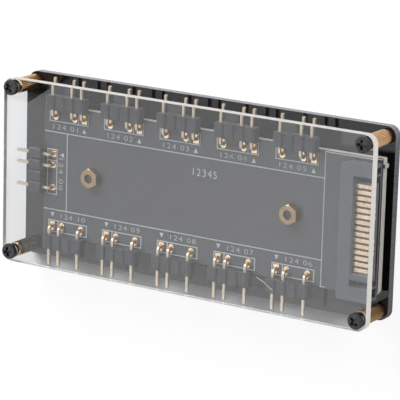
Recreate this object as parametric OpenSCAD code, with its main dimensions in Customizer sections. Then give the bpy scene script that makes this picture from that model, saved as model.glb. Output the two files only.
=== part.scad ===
// Addressable RGB hub, lying on its back.
// A circuit board with ten output headers, one input header and a power
// socket sits between a black acrylic back plate and a clear acrylic cover.
// X runs to the power socket, Y to outputs 1 to 5, Z out through the cover.
// The origin is the bottom centre of the back plate's underside.

/* [Plates] */
// Length of the two acrylic plates
plate_w = 92.4; // [92:0.1:94]
// Height of the two acrylic plates
plate_h = 41.5; // [41:0.1:44]
// Thickness of each plate
plate_t = 2; // [1.5:0.1:2]
// Corner radius of each plate
plate_r = 2.2; // [1:0.1:3]
// Clear gap between the two plates, which is the standoff length
gap = 7.5; // [7.5:0.1:9]

/* [Board] */
// Position of the board's left edge
board_left = -38.8; // [-39.2:0.1:-38.7]
// Position of the board's right edge
board_right = 45.5; // [45.4:0.1:45.6]
// Height of the board
board_h = 29.5; // [29:0.1:30]
// Thickness of the board
board_t = 1.6; // [1.6:0.1:1.8]
// Length of the spacers under the board
spacer_len = 2; // [1.8:0.1:2.2]
// Position of the left board screw
board_screw_left = -25.8; // [-27:0.1:-25]
// Position of the right board screw
board_screw_right = 24.7; // [23:0.1:25]

/* [Ports] */
// Spacing of the output headers
port_pitch = 14.45; // [14.2:0.05:14.6]
// Middle of the first port outline
port_first = -32.2; // [-32.5:0.05:-32]
// Distance of the header's middle from the outline's, towards pin 1
pin_shift = 0.27; // [0:0.01:0.3]
// Distance of the output pads from the board's middle
pad_row = 12.55; // [12.4:0.05:12.7]
// Position of the input header's pads
input_x = -36.55; // [-36.8:0.05:-36.4]
// Middle of the input port's outline
input_y = -0.25; // [-0.3:0.01:0]
// Thickness of the square pin wire
wire = 0.6; // [0.56:0.01:0.66]
// Height of the header housing, with the pins at its middle
header_h = 2.4; // [2.3:0.1:2.6]
// Length of the header housing along its pins
header_len = 3.1; // [2.6:0.1:3.2]
// Distance from the pads to the rear of the housing
header_back = 1.7; // [1.6:0.1:1.9]
// Distance from the pads to the pin tips
pin_reach = 8.65; // [8.4:0.05:9]
// Length of wire left under the board
pin_tail = 1; // [0.8:0.1:1.4]

/* [Power socket] */
// Middle of the power socket across the board
socket_y = -0.75; // [-0.8:0.05:-0.7]
// Rear face of the socket
socket_back = 38; // [37.8:0.1:38.2]
// Mouth face of the socket
socket_mouth = 45.3; // [45.2:0.1:45.4]
// Overall width of the socket
socket_w = 28.8; // [28.6:0.1:29]
// Overall height of the socket
socket_h = 3.6; // [3.5:0.1:3.7]
// Rear wall of the recess that takes the plug
recess_back = 41; // [40.8:0.1:41.2]
// Width of the recess
recess_w = 23.4; // [23.2:0.1:23.6]
// Width of the tongue that carries the contacts
tongue_w = 20.6; // [20.5:0.1:20.7]
// Height of the tongue's contact face above the board
tongue_top = 2.4; // [2.3:0.1:2.5]
// Thickness of the tongue
tongue_t = 1.25; // [1.2:0.05:1.3]
// Width of a contact
contact_w = 0.8; // [0.7:0.02:0.84]

/* [Hardware] */
// Distance of the corner screws from the plate edges
screw_inset = 2.15; // [2.1:0.05:2.3]
// Outer diameter of the brass standoffs
standoff_d = 3.3; // [3.2:0.1:3.5]
// Number of ridges in the knurl
knurl_n = 26; // [20:2:32]
// Diameter of the screw shanks
shank_d = 1.9; // [1.8:0.05:1.9]
// Length of a screw shank inside a standoff
shank_in = 3; // [2.5:0.1:3.4]
// Head diameter of the cover screws
head_d = 3.5; // [3.4:0.1:3.7]
// Head height of the cover screws
head_h = 1.3; // [1.2:0.1:1.4]
// Width across the flats of the board nuts
nut_af = 4; // [4:0.1:4.2]
// Thickness of the board nuts
nut_t = 1.6; // [1.4:0.1:1.6]

/* [Hidden] */
PORTS = ["01", "02", "03", "04", "05", "06", "07", "08", "09", "10"];

// Facets of large and small rounds, running clearance and the overreach of a cut
round_fn = 32;
small_fn = 20;
fit = 0.02;
cut = 1;

// Levels and hole places
board_z = plate_t + spacer_len;
board_top = board_z + board_t;
cover_z = plate_t + gap;
screw_x = plate_w / 2 - screw_inset;
screw_y = plate_h / 2 - screw_inset;
board_screws_x = [board_screw_left, board_screw_right];
corners = [[-1, -1], [-1, 1], [1, -1], [1, 1]];
board_r = 0.3;
board_r_low = 1.5;

// Holes for M2 screws, countersinks, and the board's drilled and plated holes
clear_d = 2.2;
bore_d = 2;
csk_d = 3.8;
csk_h = (csk_d - clear_d) / 2;
drill_d = 1;
land_w = 1.35;
land_l = 2;
land_t = 0.05;
cone_d = 0.94;
cone_h = 0.6;

// Cross recesses of the screws, then spacers and nuts
cross_w = 0.65;
cross_l = 2.1;
cross_turns = [10, 30, 45, 0];
cross_pan = 0.8;
cross_flat = 0.6;
spacer_d = 4;
nut_bevel = 0.2;
nut_grip = 1.12;

// Headers on the standard 2.54 mm pitch, with the third pin of four left out
pitch = 2.54;
header_w = 4 * pitch;
pin_z = header_h / 2;
bend_r = 0.6;
bend_steps = 6;
tip_len = 0.2;
tip_w = 0.44;
notch = 0.4;
pin_at = [for (k = [-1.5, -0.5, 1.5]) k * pitch - pin_shift];
cell_at = [for (k = [-1.5 : 1.5]) k * pitch - pin_shift];

// Power socket contacts, and their legs in two staggered rows
contact_n = 15;
contact_pitch = 1.27;
contact_mid = 0.92;
contact_first = contact_mid + 7 * contact_pitch;
contact_t = 0.2;
contact_proud = 0.04;
contact_long = [3, 4, 5, 9, 10, 11];
long_inset = 0.05;
short_inset = 0.7;
leg_w = 0.5;
leg_t = 0.3;
leg_rows = [38.9, 40.2];
leg_tail = 0.9;

// Power socket body
ear_wall = 0.6;
ear_inner = 0.45;
ear_depth = 4;
corner_cut = 0.4;
socket_floor = 0.5;
tongue_out = 0.2;
plug_mid = 0.3;
key_w = 1.3;
key_drop = 0.2;
peg_d = 1;
peg_x = 42;
peg_y = 12.8;

// Printed lines: their width, thickness and places
print_t = 0.03;
print_w = 0.2;
print_edge = 0.3;
frame_y = 8.8;
frame_left = -38.6;
frame_mid = -32.6;
frame_right = 32.4;
frame_end = board_h / 2 - print_edge;
mark_size = 1;
mark_gap = 1.3;

function column_x(i) = port_first + i * port_pitch;
function contact_y(i) = contact_first - i * contact_pitch;
function leg_x(i) = leg_rows[i % 2];
function arc(cx, cy, r, a0, a1, n) =
    [for (k = [0 : n]) let (a = a0 + (a1 - a0) * k / n) [cx + r * cos(a), cy + r * sin(a)]];

// Ports 1 to 5 stand along the top edge, 6 to 10 along the bottom from right to left
module at_port(i) {
    if (i < 5)
        translate([column_x(i), pad_row, 0]) rotate(180) children();
    else
        translate([column_x(9 - i), -pad_row, 0]) children();
}

module at_input() {
    translate([input_x, input_y, 0]) rotate(-90) children();
}

module at_all_ports() {
    for (i = [0 : 9]) at_port(i) children();
    at_input() children();
}

module at_corners() {
    for (c = corners) translate([c[0] * screw_x, c[1] * screw_y, 0]) children();
}

module at_board_screws() {
    for (x = board_screws_x) translate([x, 0, 0]) children();
}

module bar(x0, x1, y0, y1, z0, z1) {
    translate([x0, y0, z0]) cube([x1 - x0, y1 - y0, z1 - z0]);
}

module slab(w, h, r, t) {
    linear_extrude(t) union() {
        square([w - 2 * r, h], center = true);
        square([w, h - 2 * r], center = true);
        for (sx = [-1, 1], sy = [-1, 1])
            translate([sx * (w / 2 - r), sy * (h / 2 - r)]) circle(r, $fn = round_fn);
    }
}

// A round hole through a plate of thickness t that lies on zero
module through_hole(d, t, fn) {
    translate([0, 0, -cut]) cylinder(d = d, h = t + 2 * cut, $fn = fn);
}

module countersink(d) {
    translate([0, 0, -cut]) cylinder(d = d, h = cut + fit, $fn = round_fn);
    cylinder(d1 = d, d2 = d - 2 * csk_h, h = csk_h, $fn = round_fn);
}

// Acrylic plates
module back_plate() {
    color("#17181a") difference() {
        slab(plate_w, plate_h, plate_r, plate_t);
        at_corners() through_hole(clear_d, plate_t, round_fn);
        at_corners() countersink(csk_d);
        at_board_screws() through_hole(clear_d, plate_t, round_fn);
        at_board_screws() countersink(csk_d);
    }
}

module front_cover() {
    color("#dfe6ea", 0.3) translate([0, 0, cover_z]) difference() {
        slab(plate_w, plate_h, plate_r, plate_t);
        at_corners() through_hole(clear_d, plate_t, round_fn);
    }
}

// Circuit board, with the stub left where it was broken out of its panel
module circuit_board() {
    stub = 0.4;
    stub_y = 12.7;
    board_mid = (board_left + board_right) / 2;
    color("#1c1d20") translate([0, 0, board_z]) difference() {
        union() {
            translate([board_mid, 0, 0]) slab(board_right - board_left, board_h, board_r, board_t);
            bar(board_right - stub, board_right + stub, stub_y, stub_y + 2 * stub, 0, board_t);
        }
        translate([board_right - board_r_low, board_r_low - board_h / 2, 0]) difference() {
            bar(0, board_r_low + cut, -board_r_low - cut, 0, -cut, board_t + cut);
            translate([0, 0, -cut]) through_hole(2 * board_r_low, board_t + 2 * cut, round_fn);
        }
        at_all_ports() for (x = pin_at) translate([x, 0, 0]) through_hole(drill_d, board_t, small_fn);
        at_board_screws() through_hole(clear_d, board_t, round_fn);
        at_contact_legs() through_hole(drill_d, board_t, small_fn);
        at_pegs() through_hole(peg_d, board_t, small_fn);
    }
}

// Gold lands: long with round ends, and square at pin 1
module long_land() {
    half = (land_l - land_w) / 2;
    linear_extrude(land_t) union() {
        square([land_w, 2 * half], center = true);
        for (s = [-1, 1]) translate([0, s * half]) circle(land_w / 2, $fn = round_fn);
    }
}

module solder_pads() {
    color("#e6c26e") translate([0, 0, board_top]) at_all_ports() for (x = pin_at)
        translate([x, 0, 0]) difference() {
            if (x == pin_at[0])
                bar(-land_w / 2, land_w / 2, -land_l / 2, land_l / 2, 0, land_t);
            else
                long_land();
            through_hole(drill_d, land_t, small_fn);
        }
}

// Solder that fills each drilled hole and stands as a cone under the board
module solder_joint(hole_x, hole_y) {
    difference() {
        union() {
            cylinder(d = drill_d, h = board_t, $fn = small_fn);
            translate([0, 0, -cone_h]) cylinder(d1 = cone_d, d2 = land_w, h = cone_h, $fn = small_fn);
        }
        translate([0, 0, board_t / 2]) cube([hole_x, hole_y, 3 * board_t], center = true);
    }
}

module solder_joints() {
    color("#b9bcc0") translate([0, 0, board_z]) {
        at_all_ports() for (x = pin_at) translate([x, 0, 0]) solder_joint(wire, wire);
        at_contact_legs() solder_joint(leg_t, leg_w);
    }
}

// Printed lines, port outlines and pin 1 marks on the board
module print_line(x0, y0, x1, y1) {
    bar(min(x0, x1) - print_w / 2, max(x0, x1) + print_w / 2,
        min(y0, y1) - print_w / 2, max(y0, y1) + print_w / 2, 0, print_t);
}

module port_outline() {
    side = header_w / 2;
    end = pitch / 2;
    for (s = [-1, 1]) {
        print_line(-side, s * end, side, s * end);
        print_line(s * side, -end, s * side, end);
    }
    print_line(-pitch, end, -pitch, -end);
    translate([pin_at[0], end + mark_gap, 0]) linear_extrude(print_t)
        polygon([[-mark_size / 2, mark_size / 2], [mark_size / 2, mark_size / 2], [0, -mark_size / 2]]);
}

module board_print() {
    tick = 0.9;
    color("#c9ced2") translate([0, 0, board_top]) union() {
        at_all_ports() port_outline();
        print_line(frame_left, frame_y, frame_right, frame_y);
        print_line(frame_left, -frame_y, frame_right, -frame_y);
        print_line(frame_mid, -frame_y, frame_mid, frame_y);
        print_line(frame_right, -frame_end, frame_right, frame_end);
        print_line(frame_right, -frame_end, frame_right + tick, -frame_end);
        print_line(frame_right, frame_end, socket_mouth, frame_end);
    }
}

// Brass standoffs with a straight knurl between two plain collars
module standoff() {
    collar = 0.7;
    depth = 0.14;
    tooth = 360 / (2 * knurl_n);
    color("#c9985a") difference() {
        union() {
            cylinder(d = standoff_d - 2 * depth, h = gap, $fn = round_fn);
            translate([0, 0, collar]) linear_extrude(gap - 2 * collar) polygon([
                for (k = [0 : 2 * knurl_n - 1]) let (r = standoff_d / 2 - depth * (k % 2))
                    [r * cos(k * tooth), r * sin(k * tooth)]]);
        }
        through_hole(bore_d, gap, round_fn);
    }
}

module standoff_at(sx, sy) {
    translate([sx * screw_x, sy * screw_y, plate_t]) standoff();
}

// Pan head screw, head up, with a cross recess
module pan_screw(len, turn) {
    edge = 0.45;
    crown = 0.25;
    difference() {
        union() {
            rotate_extrude($fn = round_fn) polygon(concat(
                [[0, 0], [head_d / 2, 0], [head_d / 2, edge]],
                arc(head_d / 2 - edge, head_h - crown - edge, edge, 20, 80, 4),
                [[0, head_h]]));
            translate([0, 0, -len]) cylinder(d = shank_d, h = len + fit, $fn = round_fn);
        }
        for (a = [turn, turn + 90]) rotate(a) translate([0, 0, head_h])
            cube([cross_l, cross_w, 2 * cross_pan], center = true);
    }
}

// Countersunk screw, head down at zero, with a cross recess
module flat_screw(len) {
    top_d = csk_d - 2 * fit;
    difference() {
        union() {
            cylinder(d1 = top_d, d2 = shank_d, h = (top_d - shank_d) / 2, $fn = round_fn);
            cylinder(d = shank_d, h = len, $fn = round_fn);
        }
        for (a = [45, 135]) rotate(a) cube([cross_l, cross_w, 2 * cross_flat], center = true);
    }
}

module cover_screws() {
    color("#26272a") translate([0, 0, cover_z + plate_t]) for (k = [0 : 3])
        translate([corners[k][0] * screw_x, corners[k][1] * screw_y, 0])
            pan_screw(plate_t + shank_in, cross_turns[k]);
}

module back_screws() {
    color("#26272a") at_corners() flat_screw(plate_t + shank_in);
}

module board_screws() {
    color("#26272a") at_board_screws() flat_screw(board_top + nut_grip);
}

// Plain round spacers between the back plate and the board
module board_spacers() {
    color("#d8d8d2") at_board_screws() translate([0, 0, plate_t]) difference() {
        cylinder(d = spacer_d, h = spacer_len, $fn = round_fn);
        through_hole(clear_d, spacer_len, round_fn);
    }
}

// Hexagon nuts with turned corners
module board_nuts() {
    across = nut_af / cos(30);
    color("#c9985a") at_board_screws() translate([0, 0, board_top]) difference() {
        intersection() {
            rotate(30) cylinder(d = across, h = nut_t, $fn = 6);
            rotate_extrude($fn = round_fn) polygon([
                [0, 0], [nut_af / 2, 0], [across / 2 + fit, nut_bevel],
                [across / 2 + fit, nut_t - nut_bevel], [nut_af / 2, nut_t], [0, nut_t]]);
        }
        through_hole(bore_d, nut_t, round_fn);
    }
}

// Right-angle header: four cells in a row, pins pointing to -Y, board top at zero
module header_profile() {
    side = pitch / 2;
    polygon([
        [-side, notch], [-side + notch, 0], [side - notch, 0], [side, notch],
        [side, header_h - notch], [side - notch, header_h],
        [-side + notch, header_h], [-side, header_h - notch]]);
}

module header_housing() {
    hole = wire + fit;
    color("#222326") translate([0, 0, board_top]) difference() {
        translate([0, -header_back, 0]) rotate([90, 0, 0]) linear_extrude(header_len)
            for (x = cell_at) translate([x, 0]) header_profile();
        for (x = cell_at) translate([x, 0, 0])
            bar(-hole / 2, hole / 2, -header_back - header_len - cut, -header_back + cut,
                pin_z - hole / 2, pin_z + hole / 2);
    }
}

// One pin in side view: x is the distance out from the pad, y the height over the board
module pin_side() {
    out = bend_r + wire / 2;
    inn = bend_r - wire / 2;
    cy = pin_z - bend_r;
    polygon(concat(
        [[-wire / 2, -board_t - pin_tail]],
        arc(bend_r, cy, out, 180, 90, bend_steps),
        [[pin_reach - tip_len, pin_z + wire / 2], [pin_reach, pin_z + tip_w / 2],
         [pin_reach, pin_z - tip_w / 2], [pin_reach - tip_len, pin_z - wire / 2]],
        arc(bend_r, cy, inn, 90, 180, bend_steps),
        [[wire / 2, -board_t - pin_tail]]));
}

module pin_plan() {
    polygon([[-wire, -wire / 2], [pin_reach - tip_len, -wire / 2], [pin_reach, -tip_w / 2],
        [pin_reach, tip_w / 2], [pin_reach - tip_len, wire / 2], [-wire, wire / 2]]);
}

module header_pins() {
    tall = board_t + pin_tail + header_h;
    color("#e3cda0") translate([0, 0, board_top]) for (x = pin_at)
        translate([x, 0, 0]) rotate(-90) intersection() {
            rotate([90, 0, 0]) translate([0, 0, -wire / 2]) linear_extrude(wire) pin_side();
            translate([0, 0, -board_t - pin_tail]) linear_extrude(tall) pin_plan();
        }
}

// Power socket: tongue with a raised key at one end, in a recess between two hollow ears
module at_contact_legs() {
    for (i = [0 : contact_n - 1]) translate([leg_x(i), socket_y + contact_y(i), 0]) children();
}

module at_pegs() {
    for (s = [-1, 1]) translate([peg_x, socket_y + s * peg_y, 0]) children();
}

module socket_shell() {
    half = socket_w / 2;
    difference() {
        bar(socket_back, socket_mouth, -half, half, 0, socket_h);
        translate([0, plug_mid, 0])
            bar(recess_back, socket_mouth + cut, -recess_w / 2, recess_w / 2, socket_floor, socket_h + cut);
        for (s = [-1, 1]) scale([1, s, 1])
            bar(socket_mouth - ear_depth, socket_mouth + cut, recess_w / 2 + s * plug_mid + ear_inner,
                half - ear_wall, socket_floor, socket_h - ear_wall);
        for (s = [-1, 1]) scale([1, s, 1]) translate([socket_back, half, 0]) rotate(45)
            cube([corner_cut, corner_cut, 3 * socket_h], center = true);
    }
}

module socket_tongue() {
    half = tongue_w / 2;
    nose = 0.35;
    tip = socket_mouth + tongue_out;
    translate([0, half + plug_mid, 0]) rotate([90, 0, 0]) linear_extrude(tongue_w) polygon([
        [recess_back - fit, tongue_top - tongue_t], [tip - nose, tongue_top - tongue_t],
        [tip, tongue_top - tongue_t + nose], [tip, tongue_top - nose],
        [tip - nose, tongue_top], [recess_back - fit, tongue_top]]);
    translate([0, plug_mid, 0])
        bar(recess_back - fit, tip - nose, -half, -half + key_w,
            tongue_top - tongue_t / 2, socket_h - key_drop);
}

module power_socket_housing() {
    color("#2a2b2f") translate([0, socket_y, board_top]) difference() {
        union() {
            socket_shell();
            socket_tongue();
            for (s = [-1, 1]) translate([peg_x, s * peg_y, -board_t])
                cylinder(d = peg_d, h = board_t + fit, $fn = small_fn);
        }
        for (i = [0 : contact_n - 1]) translate([0, contact_y(i), 0]) contact_body(i, 0);
    }
}

// A contact strip lies on the tongue and turns down through the rear block
module contact_body(i, tail) {
    top = tongue_top + contact_proud;
    is_long = len(search(i, contact_long)) > 0;
    tip = socket_mouth + tongue_out - (is_long ? long_inset : short_inset);
    low = tail > 0 ? -board_t - tail : -cut;
    bar(leg_x(i) - leg_t / 2, tip, -contact_w / 2, contact_w / 2, top - contact_t, top);
    bar(leg_x(i) - leg_t / 2, leg_x(i) + leg_t / 2, -leg_w / 2, leg_w / 2, low, top);
}

module power_socket_contacts() {
    color("#e6d3b4") translate([0, socket_y, board_top]) for (i = [0 : contact_n - 1])
        translate([0, contact_y(i), 0]) contact_body(i, leg_tail);
}

back_plate();
circuit_board();
solder_pads();
solder_joints();
board_print();
standoff_at(-1, 1);  // standoff_top_left
standoff_at(1, 1);  // standoff_top_right
standoff_at(-1, -1);  // standoff_bottom_left
standoff_at(1, -1);  // standoff_bottom_right
cover_screws();
back_screws();
board_screws();
board_spacers();
board_nuts();
power_socket_housing();
power_socket_contacts();
at_input() header_housing();  // input_header
at_input() header_pins();  // input_pins
at_port(0) header_housing();  // output_header_01
at_port(1) header_housing();  // output_header_02
at_port(2) header_housing();  // output_header_03
at_port(3) header_housing();  // output_header_04
at_port(4) header_housing();  // output_header_05
at_port(5) header_housing();  // output_header_06
at_port(6) header_housing();  // output_header_07
at_port(7) header_housing();  // output_header_08
at_port(8) header_housing();  // output_header_09
at_port(9) header_housing();  // output_header_10
at_port(0) header_pins();  // output_pins_01
at_port(1) header_pins();  // output_pins_02
at_port(2) header_pins();  // output_pins_03
at_port(3) header_pins();  // output_pins_04
at_port(4) header_pins();  // output_pins_05
at_port(5) header_pins();  // output_pins_06
at_port(6) header_pins();  // output_pins_07
at_port(7) header_pins();  // output_pins_08
at_port(8) header_pins();  // output_pins_09
at_port(9) header_pins();  // output_pins_10
front_cover();
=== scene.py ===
"""Looks of the addressable RGB hub, lying on its back on a pale studio floor. Units are metres."""

import math

import bmesh
import bpy
from mathutils import Matrix, Vector


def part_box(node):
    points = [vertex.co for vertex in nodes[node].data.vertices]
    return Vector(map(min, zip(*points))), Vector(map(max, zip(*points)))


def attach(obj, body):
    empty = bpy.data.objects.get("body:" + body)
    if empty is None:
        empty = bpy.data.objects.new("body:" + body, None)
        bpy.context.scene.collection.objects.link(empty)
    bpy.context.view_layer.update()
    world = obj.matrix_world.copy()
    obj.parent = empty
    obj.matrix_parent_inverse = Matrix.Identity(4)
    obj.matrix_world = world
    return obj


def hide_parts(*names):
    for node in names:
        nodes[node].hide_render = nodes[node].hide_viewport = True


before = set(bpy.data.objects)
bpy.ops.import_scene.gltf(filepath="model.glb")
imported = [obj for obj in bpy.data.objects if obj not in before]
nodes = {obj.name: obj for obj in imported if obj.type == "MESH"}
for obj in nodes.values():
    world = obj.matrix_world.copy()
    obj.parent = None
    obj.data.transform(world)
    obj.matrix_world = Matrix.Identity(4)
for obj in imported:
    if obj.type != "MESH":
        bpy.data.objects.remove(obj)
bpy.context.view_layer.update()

MM = 0.001

# Places taken from the frame
cover_low, cover_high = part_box("front_cover")
plate_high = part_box("back_plate")[1]
contacts_low, contacts_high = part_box("power_socket_contacts")
standoff_low, standoff_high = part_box("standoff_top_right")
first_header, last_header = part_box("output_header_01"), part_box("output_header_10")
cover_middle_z = (cover_low.z + cover_high.z) / 2
board_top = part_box("input_header")[0].z
contacts_x = (contacts_low.x + contacts_high.x) / 2
contacts_y = (contacts_low.y + contacts_high.y) / 2
contacts_half = (contacts_high.y - contacts_low.y) / 2
screw_x = (standoff_low.x + standoff_high.x) / 2
screw_y = (standoff_low.y + standoff_high.y) / 2
standoff_r = (standoff_high.x - standoff_low.x) / 2
port_first = sum(corner.x for corner in first_header + last_header) / 4
port_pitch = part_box("output_header_02")[0].x - first_header[0].x

# The row of holes lies half a land inside the lands' outer ends
HALF_LAND = 1.0 * MM
pad_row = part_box("solder_pads")[1].y - HALF_LAND


# Nodes and colours

def linear(hex_colour):
    """An sRGB hex colour as the linear values that a shader takes, with full alpha."""
    parts = [int(hex_colour[i : i + 2], 16) / 255 for i in (1, 3, 5)]
    return [c / 12.92 if c <= 0.04045 else ((c + 0.055) / 1.055) ** 2.4 for c in parts] + [1.0]


def add(tree, kind, inputs=None, **settings):
    """Adds a node with its settings, and sets or links its inputs. A node given as an input is
    linked by its first output that is in use."""
    made = tree.nodes.new(kind)
    for key, value in settings.items():
        setattr(made, key, value)
    for key, value in (inputs or {}).items():
        if isinstance(value, bpy.types.Node):
            value = next(s for s in value.outputs if s.enabled)
        if isinstance(value, bpy.types.NodeSocket):
            tree.links.new(value, made.inputs[key])
        else:
            made.inputs[key].default_value = value
    return made


def new_material(name):
    made = bpy.data.materials.new(name)
    made.use_nodes = True
    made.node_tree.nodes.clear()
    return made, made.node_tree


def per(size_mm):
    """Scale of a pattern whose repeat is this many millimetres."""
    return 1 / (size_mm * MM)


# Materials

# Nearly all of a noise texture's values lie in this span
NOISE_SPAN = {"From Min": 0.3, "From Max": 0.7}

# A face whose normal leans farther than this from straight up or down is a side
SIDE_LEAN = 0.5

# Painted glow of the clear sheet's cut sides: an emission strength, painted light on a part that is
# no lamp
PAINTED_GLOW_SHORT = 0.45
PAINTED_GLOW_LONG = 0.2

# The part of a cut side that is frosted, seen from inside the sheet
EDGE_FROSTED = 0.6

# A pin's stem is painted dark brown, as painted shade, up to the first height above the board,
# and keeps its pale gold from the second on
PAINTED_SHADE_HIGH = 0.6 * MM
UNSHADED_FROM = 1.2 * MM

# Depth of the knurl, and the length of the standoff's plain collar under the cover
KNURL_DEPTH = 0.14 * MM
COLLAR = 0.65 * MM
COLLAR_BLEND = 0.1 * MM

# Solder in a hole shows as tin below the first depth and as gold above the second
TIN_BELOW = 0.4 * MM
GOLD_ABOVE = 0.1 * MM

# The painted brown on the socket's tongue, painted shade and warm reflection of the gold contacts,
# ends short of the contacts' ends and just over their top
TONGUE_SHORT = 0.3 * MM
TONGUE_OVER = 0.01 * MM


def clear_cast_acrylic():
    # Cast sheet with polished faces: clear, slightly grey through its thickness, and very
    # slightly wavy, so that reflections bend. Light passes straight through it to what lies under.
    mat, tree = new_material("clear_cast_acrylic")
    spot = add(tree, "ShaderNodeTexCoord").outputs["Object"]
    wave = add(tree, "ShaderNodeTexNoise", {"Vector": spot, "Scale": per(14), "Detail": 1.0})
    dust = add(tree, "ShaderNodeTexNoise", {
        "Vector": spot, "Scale": per(3.5), "Detail": 6.0, "Roughness": 0.7})
    haze = add(tree, "ShaderNodeMapRange", {
        "Value": dust, "From Min": 0.45, "From Max": 0.8, "To Min": 0.0, "To Max": 0.006})
    relief = add(tree, "ShaderNodeBump", {"Height": wave, "Distance": 0.004 * MM})
    sheet = add(tree, "ShaderNodeBsdfPrincipled", {
        "Base Color": linear("#f4f5f6"), "IOR": 1.49, "Roughness": haze,
        "Transmission Weight": 1.0, "Normal": relief})
    clear = add(tree, "ShaderNodeBsdfTransparent", {"Color": linear("#eef0f1")})
    path = add(tree, "ShaderNodeLightPath")
    passes = add(tree, "ShaderNodeMath", {
        0: path.outputs["Is Shadow Ray"], 1: path.outputs["Is Diffuse Ray"]}, operation="MAXIMUM")
    surface = add(tree, "ShaderNodeMixShader", {0: passes, 1: sheet, 2: clear})
    add(tree, "ShaderNodeOutputMaterial", {"Surface": surface})
    return mat


def laser_cut_acrylic_edge():
    # The cut side of the clear sheet: the laser leaves it pale, with fine lines across the
    # thickness. An emission paints a faint glow on it, painted light for the light that the sheet
    # gathers and lets out here. Seen from inside the sheet it is half clear, half frosted. The
    # short sides end the longer way through the sheet, so their painted glow is stronger than the
    # long ones'.
    mat, tree = new_material("laser_cut_acrylic_edge")
    spot = add(tree, "ShaderNodeTexCoord").outputs["Object"]
    geometry = add(tree, "ShaderNodeNewGeometry")
    facing = add(tree, "ShaderNodeSeparateXYZ", {0: geometry.outputs["True Normal"]})
    turned = add(tree, "ShaderNodeMath", {0: facing.outputs["X"]}, operation="ABSOLUTE")
    # Painted glow: the emission is stronger on the short sides than on the long ones
    glow = add(tree, "ShaderNodeMapRange", {
        "Value": turned, "To Min": PAINTED_GLOW_LONG, "To Max": PAINTED_GLOW_SHORT})
    along = add(tree, "ShaderNodeMapping", {"Vector": spot, "Scale": (1, 1, 0.05)})
    lines = add(tree, "ShaderNodeTexNoise", {"Vector": along, "Scale": per(0.25), "Detail": 2.0})
    tone = add(tree, "ShaderNodeMapRange", {"Value": lines, **NOISE_SPAN})
    pale = add(tree, "ShaderNodeMix", {
        0: tone, "A": linear("#7f7c79"), "B": linear("#93908c")}, data_type="RGBA")
    shine = add(tree, "ShaderNodeMapRange", {
        "Value": lines, **NOISE_SPAN, "To Min": 0.15, "To Max": 0.3})
    relief = add(tree, "ShaderNodeBump", {"Height": lines, "Distance": 0.008 * MM})
    cut = add(tree, "ShaderNodeBsdfPrincipled", {
        "Base Color": pale, "IOR": 1.49, "Roughness": shine, "Specular IOR Level": 0.2,
        "Normal": relief, "Emission Color": linear("#fffaf2"), "Emission Strength": glow})
    clear = add(tree, "ShaderNodeBsdfPrincipled", {
        "Base Color": linear("#e4e4e4"), "IOR": 1.49, "Roughness": 0.1, "Transmission Weight": 1.0})
    frosted = add(tree, "ShaderNodeBsdfDiffuse", {"Color": linear("#dedcda")})
    inside = add(tree, "ShaderNodeMixShader", {0: EDGE_FROSTED, 1: clear, 2: frosted})
    surface = add(tree, "ShaderNodeMixShader", {
        0: geometry.outputs["Backfacing"], 1: cut, 2: inside})
    add(tree, "ShaderNodeOutputMaterial", {"Surface": surface})
    return mat


def black_cast_acrylic():
    # Black cast sheet: a deep gloss face with faint wiping marks, and laser-cut sides that are
    # a little duller, with fine lines across the thickness. The sides' grey is lighter than the
    # black sheet's cut: painted light, as if each side were lit.
    mat, tree = new_material("black_cast_acrylic")
    coords = add(tree, "ShaderNodeTexCoord")
    spot = coords.outputs["Object"]
    split = add(tree, "ShaderNodeSeparateXYZ", {0: coords.outputs["Normal"]})
    up = add(tree, "ShaderNodeMath", {0: split.outputs["Z"]}, operation="ABSOLUTE")
    sides = add(tree, "ShaderNodeMath", {0: up, 1: SIDE_LEAN}, operation="LESS_THAN")
    across = add(tree, "ShaderNodeMapping", {"Vector": spot, "Scale": (1, 1, 0.05)})
    lines = add(tree, "ShaderNodeTexNoise", {"Vector": across, "Scale": per(0.3), "Detail": 2.0})
    swept = add(tree, "ShaderNodeMapping", {"Vector": spot, "Scale": (1, 3, 1)})
    wiped = add(tree, "ShaderNodeTexNoise", {"Vector": swept, "Scale": per(9), "Detail": 4.0})
    tone = add(tree, "ShaderNodeMapRange", {"Value": lines, **NOISE_SPAN})
    # The sides' grey is painted light: a lit look on the black sheet's cut sides
    side_grey_painted_light = add(tree, "ShaderNodeMix", {
        0: tone, "A": linear("#626267"), "B": linear("#6f6f74")}, data_type="RGBA")
    colour = add(tree, "ShaderNodeMix", {
        0: sides, "A": linear("#131316"), "B": side_grey_painted_light}, data_type="RGBA")
    smears = add(tree, "ShaderNodeMapRange", {
        "Value": wiped, **NOISE_SPAN, "To Min": 0.02, "To Max": 0.07})
    scorch = add(tree, "ShaderNodeMapRange", {
        "Value": lines, **NOISE_SPAN, "To Min": 0.2, "To Max": 0.4})
    rough = add(tree, "ShaderNodeMix", {0: sides, "A": smears, "B": scorch}, data_type="FLOAT")
    wave = add(tree, "ShaderNodeTexNoise", {"Vector": spot, "Scale": per(16), "Detail": 1.0})
    edges = add(tree, "ShaderNodeBevel", {"Radius": 0.1 * MM})
    relief = add(tree, "ShaderNodeBump", {"Height": wave, "Distance": 0.004 * MM, "Normal": edges})
    surface = add(tree, "ShaderNodeBsdfPrincipled", {
        "Base Color": colour, "Roughness": rough, "IOR": 1.49, "Normal": relief})
    add(tree, "ShaderNodeOutputMaterial", {"Surface": surface})
    return mat


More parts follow.
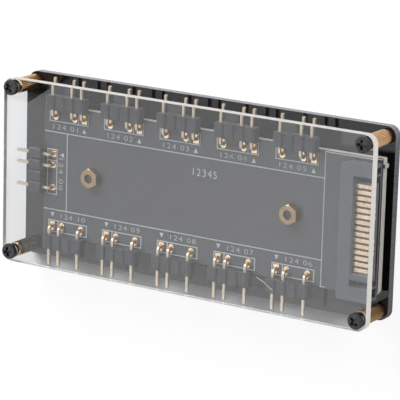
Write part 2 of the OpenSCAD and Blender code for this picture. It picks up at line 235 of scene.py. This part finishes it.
def solder_mask_on_laminate():
    # Charcoal solder mask, satin and finely mottled, over glass-epoxy board whose routed
    # sides are pale and show the layers of glass cloth.
    mat, tree = new_material("solder_mask_on_laminate")
    coords = add(tree, "ShaderNodeTexCoord")
    spot = coords.outputs["Object"]
    split = add(tree, "ShaderNodeSeparateXYZ", {0: coords.outputs["Normal"]})
    up = add(tree, "ShaderNodeMath", {0: split.outputs["Z"]}, operation="ABSOLUTE")
    sides = add(tree, "ShaderNodeMath", {0: up, 1: SIDE_LEAN}, operation="LESS_THAN")
    mottle = add(tree, "ShaderNodeTexNoise", {"Vector": spot, "Scale": per(1.2), "Detail": 5.0})
    flat = add(tree, "ShaderNodeMapping", {"Vector": spot, "Scale": (0.15, 0.15, 1)})
    cloth = add(tree, "ShaderNodeTexNoise", {"Vector": flat, "Scale": per(0.16), "Detail": 2.0})
    grain = add(tree, "ShaderNodeTexNoise", {"Vector": spot, "Scale": per(0.35), "Detail": 3.0})
    blotch = add(tree, "ShaderNodeMapRange", {"Value": mottle, **NOISE_SPAN})
    layer = add(tree, "ShaderNodeMapRange", {"Value": cloth, **NOISE_SPAN})
    coat = add(tree, "ShaderNodeMix", {
        0: blotch, "A": linear("#4c4b4e"), "B": linear("#535255")}, data_type="RGBA")
    core = add(tree, "ShaderNodeMix", {
        0: layer, "A": linear("#a8a69e"), "B": linear("#c8c6c0")}, data_type="RGBA")
    colour = add(tree, "ShaderNodeMix", {0: sides, "A": coat, "B": core}, data_type="RGBA")
    satin = add(tree, "ShaderNodeMapRange", {
        "Value": mottle, **NOISE_SPAN, "To Min": 0.1, "To Max": 0.14})
    rough = add(tree, "ShaderNodeMix", {0: sides, "A": satin, "B": 0.75}, data_type="FLOAT")
    relief = add(tree, "ShaderNodeBump", {"Height": grain, "Distance": 0.0015 * MM})
    surface = add(tree, "ShaderNodeBsdfPrincipled", {
        "Base Color": colour, "Roughness": rough, "Normal": relief})
    add(tree, "ShaderNodeOutputMaterial", {"Surface": surface})
    return mat


def knurled_brass():
    # Turned brass rod with a rolled straight knurl: bright rubbed ridges, darker oxide in the
    # valleys, fine tool marks, and a freshly faced collar under the cover.
    mat, tree = new_material("knurled_brass")
    spot = add(tree, "ShaderNodeTexCoord").outputs["Object"]
    split = add(tree, "ShaderNodeSeparateXYZ", {0: spot})
    side_x = add(tree, "ShaderNodeMath", {0: split.outputs["X"]}, operation="ABSOLUTE")
    side_y = add(tree, "ShaderNodeMath", {0: split.outputs["Y"]}, operation="ABSOLUTE")
    from_x = add(tree, "ShaderNodeMath", {0: side_x, 1: screw_x}, operation="SUBTRACT")
    from_y = add(tree, "ShaderNodeMath", {0: side_y, 1: screw_y}, operation="SUBTRACT")
    out = add(tree, "ShaderNodeCombineXYZ", {"X": from_x, "Y": from_y})
    radius = add(tree, "ShaderNodeVectorMath", {0: out}, operation="LENGTH").outputs["Value"]
    height = add(tree, "ShaderNodeMapRange", {
        "Value": radius, "From Min": standoff_r - KNURL_DEPTH, "From Max": standoff_r})
    rings = add(tree, "ShaderNodeMapping", {"Vector": spot, "Scale": (0.2, 0.2, 1)})
    marks = add(tree, "ShaderNodeTexNoise", {"Vector": rings, "Scale": per(0.12), "Detail": 3.0})
    tarnish = add(tree, "ShaderNodeTexNoise", {"Vector": spot, "Scale": per(0.9), "Detail": 4.0})
    rubbed = add(tree, "ShaderNodeMix", {
        0: tarnish, "A": linear("#dfb077"), "B": linear("#ffe2b2")}, data_type="RGBA")
    valley = add(tree, "ShaderNodeMix", {
        0: tarnish, "A": linear("#86592d"), "B": linear("#ad7d48")}, data_type="RGBA")
    knurl = add(tree, "ShaderNodeMix", {0: height, "A": valley, "B": rubbed}, data_type="RGBA")
    end = add(tree, "ShaderNodeMapRange", {
        "Value": split.outputs["Z"], "From Min": cover_low.z - COLLAR - COLLAR_BLEND,
        "From Max": cover_low.z - COLLAR})
    colour = add(tree, "ShaderNodeMix", {
        0: end, "A": knurl, "B": linear("#f4e2c3")}, data_type="RGBA")
    rough = add(tree, "ShaderNodeMapRange", {
        "Value": marks, **NOISE_SPAN, "To Min": 0.2, "To Max": 0.36})
    relief = add(tree, "ShaderNodeBump", {"Height": marks, "Distance": 0.006 * MM})
    surface = add(tree, "ShaderNodeBsdfPrincipled", {
        "Base Color": colour, "Metallic": 1.0, "Roughness": rough, "Normal": relief})
    add(tree, "ShaderNodeOutputMaterial", {"Surface": surface})
    return mat


def gold_flashed_wire():
    # Drawn square brass wire with a thin gold flash: pale gold with draw lines along the pin.
    # Near the board the stem is painted dark brown: painted shade where the pin stands on its land.
    mat, tree = new_material("gold_flashed_wire")
    spot = add(tree, "ShaderNodeTexCoord").outputs["Object"]
    split = add(tree, "ShaderNodeSeparateXYZ", {0: spot})
    drawn = add(tree, "ShaderNodeMapping", {"Vector": spot, "Scale": (1, 0.3, 1)})
    lines = add(tree, "ShaderNodeTexNoise", {"Vector": drawn, "Scale": per(0.12), "Detail": 3.0})
    unshaded = add(tree, "ShaderNodeMapRange", {
        "Value": split.outputs["Z"], "From Min": board_top + PAINTED_SHADE_HIGH,
        "From Max": board_top + UNSHADED_FROM})
    flash = add(tree, "ShaderNodeMix", {
        0: lines, "A": linear("#c2b299"), "B": linear("#e0d3c1")}, data_type="RGBA")
    # Painted shade: the stem turns dark brown near the board
    painted_shade_brown = add(tree, "ShaderNodeMix", {
        0: lines, "A": linear("#7d5433"), "B": linear("#b0814f")}, data_type="RGBA")
    colour = add(tree, "ShaderNodeMix", {0: unshaded, "A": painted_shade_brown, "B": flash}, data_type="RGBA")
    rough = add(tree, "ShaderNodeMapRange", {
        "Value": lines, **NOISE_SPAN, "To Min": 0.42, "To Max": 0.56})
    edges = add(tree, "ShaderNodeBevel", {"Radius": 0.12 * MM})
    relief = add(tree, "ShaderNodeBump", {"Height": lines, "Distance": 0.003 * MM, "Normal": edges})
    surface = add(tree, "ShaderNodeBsdfPrincipled", {
        "Base Color": colour, "Metallic": 1.0, "Roughness": rough, "Normal": relief})
    add(tree, "ShaderNodeOutputMaterial", {"Surface": surface})
    return mat


def solder_in_plated_hole():
    # Tin solder: bright grey cones under the board. At the top it has only just wicked up, so
    # the gold of the plated hole still shows through it.
    mat, tree = new_material("tin_solder")
    spot = add(tree, "ShaderNodeTexCoord").outputs["Object"]
    split = add(tree, "ShaderNodeSeparateXYZ", {0: spot})
    flow = add(tree, "ShaderNodeTexNoise", {"Vector": spot, "Scale": per(0.5), "Detail": 3.0})
    risen = add(tree, "ShaderNodeMapRange", {
        "Value": split.outputs["Z"], "From Min": board_top - TIN_BELOW,
        "From Max": board_top - GOLD_ABOVE})
    tin = add(tree, "ShaderNodeMix", {
        0: flow, "A": linear("#9fa2a6"), "B": linear("#d3d6d9")}, data_type="RGBA")
    gold = add(tree, "ShaderNodeMix", {
        0: flow, "A": linear("#d9b27c"), "B": linear("#f6deb4")}, data_type="RGBA")
    colour = add(tree, "ShaderNodeMix", {0: risen, "A": tin, "B": gold}, data_type="RGBA")
    rough = add(tree, "ShaderNodeMapRange", {
        "Value": flow, **NOISE_SPAN, "To Min": 0.2, "To Max": 0.32})
    relief = add(tree, "ShaderNodeBump", {"Height": flow, "Distance": 0.01 * MM})
    surface = add(tree, "ShaderNodeBsdfPrincipled", {
        "Base Color": colour, "Metallic": 1.0, "Roughness": rough, "Normal": relief})
    add(tree, "ShaderNodeOutputMaterial", {"Surface": surface})
    return mat


def worked_metal(
        name, dark, light, grain_mm, stretch, rough_low, rough_high, depth_mm, metallic=1.0):
    """A metal with one grain in its colour, roughness and relief, a broader tarnish over it, and
    painted shade that darkens its corners and recesses."""
    mat, tree = new_material(name)
    spot = add(tree, "ShaderNodeTexCoord").outputs["Object"]
    drawn = add(tree, "ShaderNodeMapping", {"Vector": spot, "Scale": stretch})
    grain = add(tree, "ShaderNodeTexNoise", {
        "Vector": drawn, "Scale": per(grain_mm), "Detail": 3.0})
    tarnish = add(tree, "ShaderNodeTexNoise", {
        "Vector": spot, "Scale": per(grain_mm * 7), "Detail": 3.0})
    both = add(tree, "ShaderNodeMath", {0: grain, 1: tarnish}, operation="ADD")
    tone = add(tree, "ShaderNodeMapRange", {"Value": both, "From Min": 0.75, "From Max": 1.25})
    unshaded = add(tree, "ShaderNodeMix", {
        0: tone, "A": linear(dark), "B": linear(light)}, data_type="RGBA")
    # Painted shade: the colour goes to near black where ambient occlusion finds corners and
    # recesses
    opening = add(tree, "ShaderNodeAmbientOcclusion", {"Distance": 0.35 * MM}).outputs["AO"]
    open_part = add(tree, "ShaderNodeMapRange", {
        "Value": opening, "From Min": 0.25, "From Max": 0.75})
    colour = add(tree, "ShaderNodeMix", {
        0: open_part, "A": linear("#0b0a0a"), "B": unshaded}, data_type="RGBA")
    rough = add(tree, "ShaderNodeMapRange", {
        "Value": grain, **NOISE_SPAN, "To Min": rough_low, "To Max": rough_high})
    edges = add(tree, "ShaderNodeBevel", {"Radius": 0.04 * MM})
    relief = add(tree, "ShaderNodeBump", {
        "Height": grain, "Distance": depth_mm * MM, "Normal": edges})
    surface = add(tree, "ShaderNodeBsdfPrincipled", {
        "Base Color": colour, "Metallic": metallic, "Roughness": rough, "Normal": relief})
    add(tree, "ShaderNodeOutputMaterial", {"Surface": surface})
    return mat


def moulded_plastic(name, dark, light, grain_mm, rough_low, rough_high, depth_mm):
    """A moulded plastic with the fine spark texture of its mould and faint flow marks."""
    mat, tree = new_material(name)
    spot = add(tree, "ShaderNodeTexCoord").outputs["Object"]
    grain = add(tree, "ShaderNodeTexNoise", {
        "Vector": spot, "Scale": per(grain_mm), "Detail": 3.0})
    flow = add(tree, "ShaderNodeTexNoise", {
        "Vector": spot, "Scale": per(grain_mm * 12), "Detail": 2.0})
    tone = add(tree, "ShaderNodeMapRange", {"Value": flow, **NOISE_SPAN})
    colour = add(tree, "ShaderNodeMix", {
        0: tone, "A": linear(dark), "B": linear(light)}, data_type="RGBA")
    rough = add(tree, "ShaderNodeMapRange", {
        "Value": grain, **NOISE_SPAN, "To Min": rough_low, "To Max": rough_high})
    edges = add(tree, "ShaderNodeBevel", {"Radius": 0.06 * MM})
    relief = add(tree, "ShaderNodeBump", {
        "Height": grain, "Distance": depth_mm * MM, "Normal": edges})
    surface = add(tree, "ShaderNodeBsdfPrincipled", {
        "Base Color": colour, "Roughness": rough, "Normal": relief})
    add(tree, "ShaderNodeOutputMaterial", {"Surface": surface})
    return mat


def moulded_socket_nylon():
    # Glass-filled nylon, moulded, with the fine spark texture of its mould. The tongue between the
    # contacts is painted darker and browner than the body: painted shade between the contacts and a
    # painted warm reflection of their gold.
    mat, tree = new_material("moulded_socket_nylon")
    spot = add(tree, "ShaderNodeTexCoord").outputs["Object"]
    split = add(tree, "ShaderNodeSeparateXYZ", {0: spot})
    grain = add(tree, "ShaderNodeTexNoise", {"Vector": spot, "Scale": per(0.12), "Detail": 3.0})
    flow = add(tree, "ShaderNodeTexNoise", {"Vector": spot, "Scale": per(1.4), "Detail": 2.0})
    tone = add(tree, "ShaderNodeMapRange", {"Value": flow, **NOISE_SPAN})
    body = add(tree, "ShaderNodeMix", {
        0: tone, "A": linear("#5e5e65"), "B": linear("#68686f")}, data_type="RGBA")
    from_row = add(tree, "ShaderNodeMath", {
        0: split.outputs["Y"], 1: contacts_y}, operation="SUBTRACT")
    off_row = add(tree, "ShaderNodeMath", {0: from_row}, operation="ABSOLUTE")
    in_row = add(tree, "ShaderNodeMath", {0: off_row, 1: contacts_half}, operation="LESS_THAN")
    low = add(tree, "ShaderNodeMath", {
        0: split.outputs["Z"], 1: contacts_high.z + TONGUE_OVER}, operation="LESS_THAN")
    from_middle = add(tree, "ShaderNodeMath", {
        0: split.outputs["X"], 1: contacts_x}, operation="SUBTRACT")
    off_middle = add(tree, "ShaderNodeMath", {0: from_middle}, operation="ABSOLUTE")
    beside = add(tree, "ShaderNodeMath", {
        0: off_middle, 1: contacts_high.x - contacts_x - TONGUE_SHORT}, operation="LESS_THAN")
    under = add(tree, "ShaderNodeMath", {0: in_row, 1: low}, operation="MULTIPLY")
    tongue_painted_reflection = add(tree, "ShaderNodeMath", {0: under, 1: beside}, operation="MULTIPLY")
    # Painted shade and painted warm reflection of the gold contacts on the tongue
    colour = add(tree, "ShaderNodeMix", {
        0: tongue_painted_reflection, "A": body, "B": linear("#4b352b")}, data_type="RGBA")
    rough = add(tree, "ShaderNodeMapRange", {
        "Value": grain, **NOISE_SPAN, "To Min": 0.38, "To Max": 0.5})
    edges = add(tree, "ShaderNodeBevel", {"Radius": 0.08 * MM})
    relief = add(tree, "ShaderNodeBump", {"Height": grain, "Distance": 0.004 * MM, "Normal": edges})
    surface = add(tree, "ShaderNodeBsdfPrincipled", {
        "Base Color": colour, "Roughness": rough, "Normal": relief})
    add(tree, "ShaderNodeOutputMaterial", {"Surface": surface})
    return mat


def printed_ink(name, dark, light):
    # Screen-printed ink: matt, slightly uneven cover over the solder mask.
    mat, tree = new_material(name)
    spot = add(tree, "ShaderNodeTexCoord").outputs["Object"]
    cover = add(tree, "ShaderNodeTexNoise", {"Vector": spot, "Scale": per(0.3), "Detail": 3.0})
    tone = add(tree, "ShaderNodeMapRange", {"Value": cover, **NOISE_SPAN})
    colour = add(tree, "ShaderNodeMix", {
        0: tone, "A": linear(dark), "B": linear(light)}, data_type="RGBA")
    relief = add(tree, "ShaderNodeBump", {"Height": cover, "Distance": 0.004 * MM})
    surface = add(tree, "ShaderNodeBsdfPrincipled", {
        "Base Color": colour, "Roughness": 0.6, "Normal": relief})
    add(tree, "ShaderNodeOutputMaterial", {"Surface": surface})
    return mat


clear_sheet = clear_cast_acrylic()
cut_edge = laser_cut_acrylic_edge()
black_sheet = black_cast_acrylic()
mask = solder_mask_on_laminate()
brass_knurl = knurled_brass()
pin_gold = gold_flashed_wire()
solder = solder_in_plated_hole()
socket_plastic = moulded_socket_nylon()
# Immersion gold on the lands: warm, smooth, slightly uneven
land_gold = worked_metal(
    "immersion_gold", "#e9c28c", "#fae6c4", 0.4, (1, 1, 1), 0.2, 0.32, 0.004)
# Gold flash on rolled bronze strip: pale, with rolling lines along the contact
contact_gold = worked_metal(
    "gold_flashed_strip", "#c5ab8c", "#dac7ae", 0.15, (0.2, 1, 1), 0.2, 0.34, 0.003)
# Turned brass nuts: dull yellow, tool marks round the part
nut_brass = worked_metal(
    "turned_brass", "#8c7455", "#b29a79", 0.12, (1, 1, 0.3), 0.38, 0.52, 0.006)
# Black oxide on cold-headed steel, oiled: dark grey with a metal sheen. The oxide layer is
# no metal itself, so it isn't metallic all the way.
black_oxide = worked_metal(
    "black_oxide_steel", "#303032", "#444447", 0.25, (1, 1, 1), 0.16, 0.28, 0.004, 0.6)
# Glass-filled nylon, moulded: charcoal, nearly matt, with a fine spark texture
header_plastic = moulded_plastic(
    "moulded_header_nylon", "#3a3a3d", "#454549", 0.12, 0.42, 0.55, 0.004)
# Natural nylon, moulded: milky white and waxy
nylon = moulded_plastic("natural_nylon", "#cfcfc8", "#dcdcd6", 0.2, 0.4, 0.5, 0.004)
# Screen-printed epoxy ink: pale blue-grey lines, and thinner and so greyer figures
print_ink = printed_ink("legend_ink", "#b9c0c4", "#ccd3d6")
label_ink = printed_ink("label_ink", "#b0b4b7", "#c4c8cb")
# Acrylic torn by a scratch: chalky white and matt, like the ink
scratch_mark = printed_ink("scratched_acrylic", "#d5d5d3", "#e8e8e6")


def wear(node_name, material):
    slots = nodes[node_name].material_slots
    for s in slots:
        s.material = material
    if not slots:
        nodes[node_name].data.materials.append(material)


wear("back_plate", black_sheet)
wear("circuit_board", mask)
wear("solder_pads", land_gold)
wear("solder_joints", solder)
wear("board_print", print_ink)
for corner in ("top_left", "top_right", "bottom_left", "bottom_right"):
    wear("standoff_" + corner, brass_knurl)
for screws in ("cover_screws", "back_screws", "board_screws"):
    wear(screws, black_oxide)
wear("board_spacers", nylon)
wear("board_nuts", nut_brass)
wear("power_socket_housing", socket_plastic)
wear("power_socket_contacts", contact_gold)
for node_name in nodes:
    if "_header" in node_name:
        wear(node_name, header_plastic)
    if "_pins" in node_name:
        wear(node_name, pin_gold)


# Pieces

def piece(name, mesh, material):
    """A piece of the object that rides with it and takes its finish from a slot."""
    made = bpy.data.objects.new(name, mesh)
    bpy.context.scene.collection.objects.link(made)
    if material:
        mesh.materials.append(material)
    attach(made, "root")
    return made


def mesh_of(curve):
    """The mesh of a curve or text object, which is then deleted."""
    bpy.context.view_layer.update()
    graph = bpy.context.evaluated_depsgraph_get()
    made = bpy.data.meshes.new_from_object(curve.evaluated_get(graph))
    data = curve.data
    bpy.data.objects.remove(curve)
    bpy.data.curves.remove(data)
    return made


def loop_in(curve, points):
    line = curve.splines.new("POLY")
    line.points.add(len(points) - 1)
    for p, (x, y) in zip(line.points, points):
        p.co = (x, y, 0, 1)
    line.use_cyclic_u = True


def circle_points(x, y, r, count=48):
    angles = (2 * math.pi * k / count for k in range(count))
    return [(x + r * math.cos(a), y + r * math.sin(a)) for a in angles]


def rounded_corners(half_x, half_y, r, steps=12):
    points = []
    for sx, sy, start in ((1, 1, 0), (-1, 1, 90), (-1, -1, 180), (1, -1, 270)):
        for k in range(steps + 1):
            a = math.radians(start + 90 * k / steps)
            x, y = sx * (half_x - r), sy * (half_y - r)
            points.append((x + r * math.cos(a), y + r * math.sin(a)))
    return points


# The clear cover, with the fine bevel that the cut leaves along its edges
COVER_CORNER = 2.2 * MM
COVER_BEVEL = 0.06 * MM
HOLE_R = 1.1 * MM
MERGE = 0.001 * MM

# A face of the cover is polished where its normal is this upright, and cut elsewhere
POLISHED_FROM = 0.99

# The screws have play in their holes, and the cover sits a little low
COVER_DROP = -0.14 * MM


def clear_cover():
    curve = bpy.data.curves.new("cover_outline", "CURVE")
    curve.dimensions = "2D"
    curve.fill_mode = "BOTH"
    curve.extrude = (cover_high.z - cover_low.z) / 2 - COVER_BEVEL
    curve.bevel_depth = COVER_BEVEL
    curve.bevel_resolution = 1
    curve.offset = -COVER_BEVEL
    loop_in(curve, rounded_corners(plate_high.x, plate_high.y, COVER_CORNER))
    for sx in (-1, 1):
        for sy in (-1, 1):
            loop_in(curve, circle_points(sx * screw_x, sy * screw_y, HOLE_R))
    flat = bpy.data.objects.new("cover_outline", curve)
    bpy.context.scene.collection.objects.link(flat)
    mesh = mesh_of(flat)
    work = bmesh.new()
    work.from_mesh(mesh)
    bmesh.ops.remove_doubles(work, verts=work.verts, dist=MERGE)
    bmesh.ops.translate(work, verts=work.verts, vec=(0, COVER_DROP, cover_middle_z))
    bmesh.ops.recalc_face_normals(work, faces=work.faces)
    mesh.materials.clear()
    mesh.materials.append(clear_sheet)
    mesh.materials.append(cut_edge)
    for f in work.faces:
        f.smooth = False
        f.material_index = 0 if abs(f.normal.z) > POLISHED_FROM else 1
    work.to_mesh(mesh)
    work.free()
    sheet = piece("clear_cover_sheet", mesh, None)
    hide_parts("front_cover")


clear_cover()


# Printed numbers on the board: three digits and the port's own number beside each header, and
# a plain row of digits in the middle
INK_T = 0.02 * MM
LABEL_H = 1.1 * MM
LABEL_W = 6.5 * MM
LABEL_OUT = 2.5 * MM
LABEL_TOP_SHIFT = -0.9 * MM
LABEL_BOTTOM_SHIFT = 1.43 * MM
INPUT_LABEL_AT = (-34.2 * MM, -0.55 * MM)
INPUT_LABEL_W = 7.1 * MM
MIDDLE_LABEL_AT = (3.2 * MM, 5.35 * MM)
MIDDLE_LABEL_H = 1.6 * MM
MIDDLE_LABEL_W = 6.0 * MM

# The font's strokes are thinned to the fine line of the print, in parts of the font's size
STROKE_THINNED = -0.012
LETTER_SPACE = 1.15


def number(name, text, x, y, turn, height, width, ink):
    """Digits of the given height and overall width, centred at x, y on the board."""
    curve = bpy.data.curves.new(name, "FONT")
    curve.body = text
    curve.size = 1.0
    curve.offset = STROKE_THINNED
    curve.space_character = LETTER_SPACE
    curve.align_x = "CENTER"
    curve.align_y = "CENTER"
    curve.resolution_u = 3
    made = bpy.data.objects.new(name, curve)
    bpy.context.scene.collection.objects.link(made)
    bpy.context.view_layer.update()
    mesh = mesh_of(made)
    xs = [v.co.x for v in mesh.vertices]
    ys = [v.co.y for v in mesh.vertices]
    mid_x = (min(xs) + max(xs)) / 2
    mid_y = (min(ys) + max(ys)) / 2
    scale_x = width / (max(xs) - min(xs))
    scale_y = height / (max(ys) - min(ys))
    c, s = math.cos(turn), math.sin(turn)
    for v in mesh.vertices:
        u, w = (v.co.x - mid_x) * scale_x, (v.co.y - mid_y) * scale_y
        v.co = (x + c * u - s * w, y + s * u + c * w, board_top + INK_T)
    return piece(name, mesh, ink)


for port in range(1, 11):
    top = port <= 5
    column = port - 1 if top else 10 - port
    number(
        f"number_{port:02d}", f"124 {port:02d}",
        port_first + column * port_pitch + (LABEL_TOP_SHIFT if top else LABEL_BOTTOM_SHIFT),
        (pad_row - LABEL_OUT) * (1 if top else -1),
        0, LABEL_H, LABEL_W, label_ink)
number(
    "number_input", "124 00", *INPUT_LABEL_AT, -math.pi / 2, LABEL_H, INPUT_LABEL_W, label_ink)
number("number_board", "12345", *MIDDLE_LABEL_AT, 0, MIDDLE_LABEL_H, MIDDLE_LABEL_W, print_ink)


# A hair-thin scratch on the cover near output 6, in millimetres. Its raised burr stands out of
# the cover's face by what its radius is more than its depth.
SCRATCH = (
    (19.8, -13.5), (20.4, -13.8), (21.8, -14.3), (22.4, -14.9), (23.0, -15.3), (23.9, -15.7))
SCRATCH_R = 0.06 * MM
SCRATCH_DEPTH = 0.03 * MM


def scratch():
    curve = bpy.data.curves.new("scratch", "CURVE")
    curve.dimensions = "3D"
    curve.bevel_depth = SCRATCH_R
    curve.bevel_resolution = 1
    line = curve.splines.new("NURBS")
    line.points.add(len(SCRATCH) - 1)
    for p, (x, y) in zip(line.points, SCRATCH):
        p.co = (x * MM, y * MM, cover_high.z - SCRATCH_DEPTH, 1)
    line.use_endpoint_u = True
    line.order_u = 4
    made = bpy.data.objects.new("scratch", curve)
    bpy.context.scene.collection.objects.link(made)
    piece("cover_scratch", mesh_of(made), scratch_mark)


scratch()


# Studio: a pale floor, a white surround, a key light from the upper left, a low fill from the
# right, an overhead soft box that the plates mirror, and a dark flag that keeps it off one
# corner of the cover. Places and sizes are in metres.
FLOOR_REACH = 3.0
FLOOR_BELOW = 0.02 * MM

# The floor looks white to the camera: the share and strength of its lift, which gives no light
PAPER_LIFT = 0.85
PAPER_WHITE = 1.05

# The surround's strength for diffuse and for mirrored rays. It is white to the camera.
SKY_DIFFUSE = 0.38
SKY_GLOSS = 0.95

KEY_AT = (-0.24, 0.44, 0.34)
KEY_SIZE = 0.48
KEY_WATTS = 4.8
FILL_AT = (0.5, 0.3, 0.2)
FILL_SIZE = 0.35
FILL_WATTS = 1.3

# The soft box fills what the plates mirror to the camera. It grows brighter over the span in x.
SOFT_BOX = ((-0.72, -0.42, 0.62), (-0.06, -0.42, 0.62), (-0.06, 0.06, 0.62), (-0.72, 0.06, 0.62))
SOFT_BOX_SPAN = (-0.48, -0.27)
SOFT_BOX_LIGHT = (1.26, 1.5)

# The flag hangs just under the soft box, where the cover's top left corner mirrors it
FLAG_Z = 0.6
FLAG = (
    (-0.4663, -0.1396), (-0.4526, -0.1305), (-0.4526, -0.10), (-0.52, -0.10), (-0.52, -0.1396))

# A black card stands on the near side of outputs 6 to 10 and keeps that side in shade
DARK_CARD = ((-0.5, -0.16, 0.0), (0.5, -0.16, 0.0), (0.5, -0.16, 0.32), (-0.5, -0.16, 0.32))


def studio_floor():
    mesh = bpy.data.meshes.new("studio_floor")
    quarters = ((-1, -1), (1, -1), (1, 1), (-1, 1))
    corners = [(x * FLOOR_REACH, y * FLOOR_REACH, 0) for x, y in quarters]
    mesh.from_pydata(corners, [], [(0, 1, 2, 3)])
    mat, tree = new_material("studio_floor")
    path = add(tree, "ShaderNodeLightPath")
    paper = add(tree, "ShaderNodeBsdfDiffuse", {"Color": linear("#ededee")})
    white = add(tree, "ShaderNodeEmission", {"Color": (1, 1, 1, 1), "Strength": PAPER_WHITE})
    lifted = add(tree, "ShaderNodeMixShader", {0: PAPER_LIFT, 1: paper, 2: white})
    surface = add(tree, "ShaderNodeMixShader", {
        0: path.outputs["Is Camera Ray"], 1: paper, 2: lifted})
    add(tree, "ShaderNodeOutputMaterial", {"Surface": surface})
    mesh.materials.append(mat)
    made = bpy.data.objects.new("studio_floor", mesh)
    bpy.context.scene.collection.objects.link(made)
    made.location.z = -FLOOR_BELOW


def surround():
    world = bpy.data.worlds.new("surround")
    bpy.context.scene.world = world
    world.use_nodes = True
    tree = world.node_tree
    tree.nodes.clear()
    path = add(tree, "ShaderNodeLightPath")
    seen = add(tree, "ShaderNodeMath", {
        0: path.outputs["Is Camera Ray"], 1: path.outputs["Is Transmission Ray"]},
        operation="MAXIMUM")
    light = add(tree, "ShaderNodeMix", {
        0: path.outputs["Is Glossy Ray"], "A": SKY_DIFFUSE, "B": SKY_GLOSS}, data_type="FLOAT")
    strength = add(tree, "ShaderNodeMix", {0: seen, "A": light, "B": 1.0}, data_type="FLOAT")
    sky = add(tree, "ShaderNodeBackground", {"Color": (1, 1, 1, 1), "Strength": strength})
    add(tree, "ShaderNodeOutputWorld", {"Surface": sky})


def soft_light(name, place, size, watts):
    """A round diffuser that faces the object. Mirrored rays see the soft box instead."""
    data = bpy.data.lights.new(name, "AREA")
    data.shape = "DISK"
    data.size = size
    data.energy = watts
    made = bpy.data.objects.new(name, data)
    bpy.context.scene.collection.objects.link(made)
    made.location = place
    made.rotation_mode = "QUATERNION"
    made.rotation_quaternion = (-Vector(place)).to_track_quat("-Z", "Y")
    made.visible_glossy = False


def black_velvet(tree):
    return add(tree, "ShaderNodeBsdfDiffuse", {"Color": linear("#0a0a0a")})


def glowing_fabric(tree):
    # The soft box's front is brighter to the right, nearer its lamp.
    spot = add(tree, "ShaderNodeTexCoord").outputs["Object"]
    split = add(tree, "ShaderNodeSeparateXYZ", {0: spot})
    glow = add(tree, "ShaderNodeMapRange", {
        "Value": split.outputs["X"], "From Min": SOFT_BOX_SPAN[0], "From Max": SOFT_BOX_SPAN[1],
        "To Min": SOFT_BOX_LIGHT[0], "To Max": SOFT_BOX_LIGHT[1]})
    return add(tree, "ShaderNodeEmission", {"Color": (1, 1, 1, 1), "Strength": glow})


def studio_card(name, corners, front, seen_by):
    """A flat sheet out of the picture, seen by mirrored rays or by diffuse rays alone."""
    mesh = bpy.data.meshes.new(name)
    mesh.from_pydata(corners, [], [tuple(range(len(corners)))])
    mat, tree = new_material(name)
    add(tree, "ShaderNodeOutputMaterial", {"Surface": front(tree)})
    mesh.materials.append(mat)
    made = bpy.data.objects.new(name, mesh)
    bpy.context.scene.collection.objects.link(made)
    made.visible_camera = False
    made.visible_glossy = seen_by == "mirrored"
    made.visible_diffuse = seen_by == "diffuse"
    made.visible_transmission = seen_by == "mirrored"
    made.visible_shadow = False


studio_floor()
surround()
soft_light("key_light", KEY_AT, KEY_SIZE, KEY_WATTS)
soft_light("fill_light", FILL_AT, FILL_SIZE, FILL_WATTS)
studio_card("soft_box", SOFT_BOX, glowing_fabric, "mirrored")
studio_card("black_flag", [(x, y, FLAG_Z) for x, y in FLAG], black_velvet, "mirrored")
studio_card("black_card", DARK_CARD, black_velvet, "diffuse")


# The camera, at the photograph's angle
CAMERA_AT = Vector((285.524, 134.019, 460.507)) * MM
CAMERA_AHEAD = Vector((-0.513393, -0.243978, -0.822741))
CAMERA_DOWN = Vector((0.153361, -0.969384, 0.191766))
FOCAL_PX = 2584.4
FRAME_PX = 400
SENSOR_MM = 36.0


def camera():
    data = bpy.data.cameras.new("camera")
    data.sensor_width = SENSOR_MM
    data.lens = FOCAL_PX / FRAME_PX * SENSOR_MM
    data.clip_start = 0.01
    data.clip_end = 20
    made = bpy.data.objects.new("camera", data)
    bpy.context.scene.collection.objects.link(made)
    back = -CAMERA_AHEAD.normalized()
    right = CAMERA_DOWN.cross(CAMERA_AHEAD).normalized()
    up = back.cross(right)
    turn = Matrix((right, up, back)).transposed()
    made.matrix_world = Matrix.Translation(CAMERA_AT) @ turn.to_4x4()
    bpy.context.scene.camera = made


camera()

bpy.context.scene.view_settings.view_transform = "Standard"
